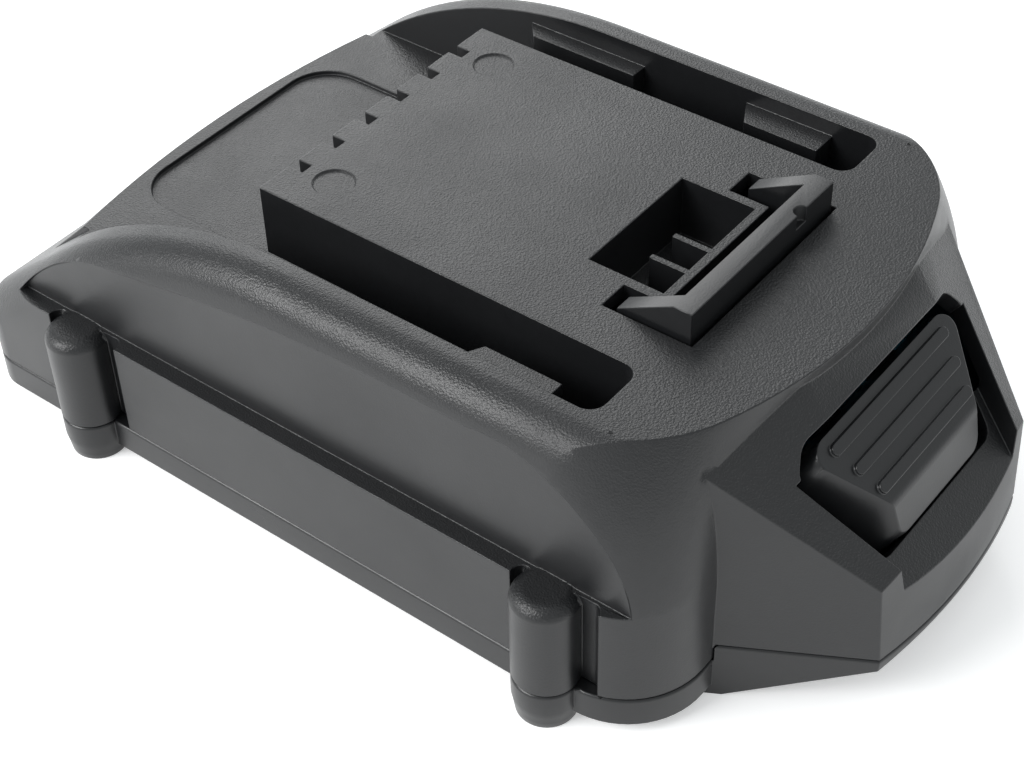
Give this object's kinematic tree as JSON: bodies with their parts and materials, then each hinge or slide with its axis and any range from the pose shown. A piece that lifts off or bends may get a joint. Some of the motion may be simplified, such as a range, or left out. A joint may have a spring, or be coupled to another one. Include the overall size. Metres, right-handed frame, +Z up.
{
  "type": "slide-on cordless tool battery pack",
  "caption": "Black slide-on rechargeable battery pack for a cordless tool, with rail channels, a row of contact slots, a sprung latch and its release button in the sloped nose.",
  "frame": {"origin": "on the flat underside, in the middle of the pack's length and width", "axes": "+X towards the nose with the release button, +Y to the pack's left seen from the rear, +Z up through the deck"},
  "size_m": [0.1228, 0.0806, 0.043],
  "materials": {
    "housing_plastic": "fine-grained black glass-filled nylon",
    "tray_plastic": "fine-grained black glass-filled nylon",
    "button_plastic": "satin black nylon",
    "latch_plastic": "satin black nylon",
    "block_plastic": "satin",
    "screw_steel": "zinc plated",
    "spring_steel": "drawn wire",
    "cell_steel": "nickel plated",
    "nickel": "rolled nickel strip",
    "sleeve_film": "shrunk film",
    "insulating_card": "pressed card",
    "foam": "closed-cell foam",
    "lead_rubber": "insulated wire",
    "board_laminate": "solder resist over glass laminate",
    "chip_plastic": "moulded epoxy",
    "fuse_ceramic": "glazed",
    "capacitor_can": "drawn can",
    "contact_brass": "bent sheet"
  },
  "bodies": {
    "case": {"board_screws": "screw_steel", "bottom_housing": "tray_plastic", "capacitors": "capacitor_can", "cell_1": "cell_steel", "cell_2": "cell_steel", "cell_3": "cell_steel", "cell_4": "cell_steel", "cell_5": "cell_steel", "cell_rings": "insulating_card", "cell_sleeves": "sleeve_film", "circuit_board": "board_laminate", "contact_clip_1": "contact_brass", "contact_clip_2": "contact_brass", "contact_clip_3": "contact_brass", "contact_clip_4": "contact_brass", "contact_clip_5": "contact_brass", "contact_clip_6": "contact_brass", "controller_chip": "chip_plastic", "end_paper_left": "insulating_card", "end_paper_right": "insulating_card", "floor_foam": "foam", "fuse": "fuse_ceramic", "housing_screws": "screw_steel", "latch_spring_left": "spring_steel", "latch_spring_right": "spring_steel", "link_strip_1": "nickel", "link_strip_2": "nickel", "link_strip_3": "nickel", "link_strip_4": "nickel", "negative_strip": "nickel", "positive_strip": "nickel", "power_transistors": "chip_plastic", "sense_lead_1": "lead_rubber", "sense_lead_2": "lead_rubber", "sense_lead_3": "lead_rubber", "sense_lead_4": "lead_rubber", "shunt_resistor": "nickel", "small_resistors": "fuse_ceramic", "terminal_block": "block_plastic", "thermistor": "lead_rubber", "top_foam": "foam", "top_housing": "housing_plastic", "top_paper": "insulating_card"},
    "latch": {"latch_frame": "latch_plastic", "release_button": "button_plastic"}
  },
  "joints": [
    {"name": "release_slide", "type": "slide", "parent": "case", "child": "latch", "axis": [-0.5446, 0, -0.8387], "range_m": [0, 0.00459], "stiffness_N_per_m": 1200, "springref_m": -0.004, "deforming": ["latch_spring_left", "latch_spring_right"]}
  ]
}
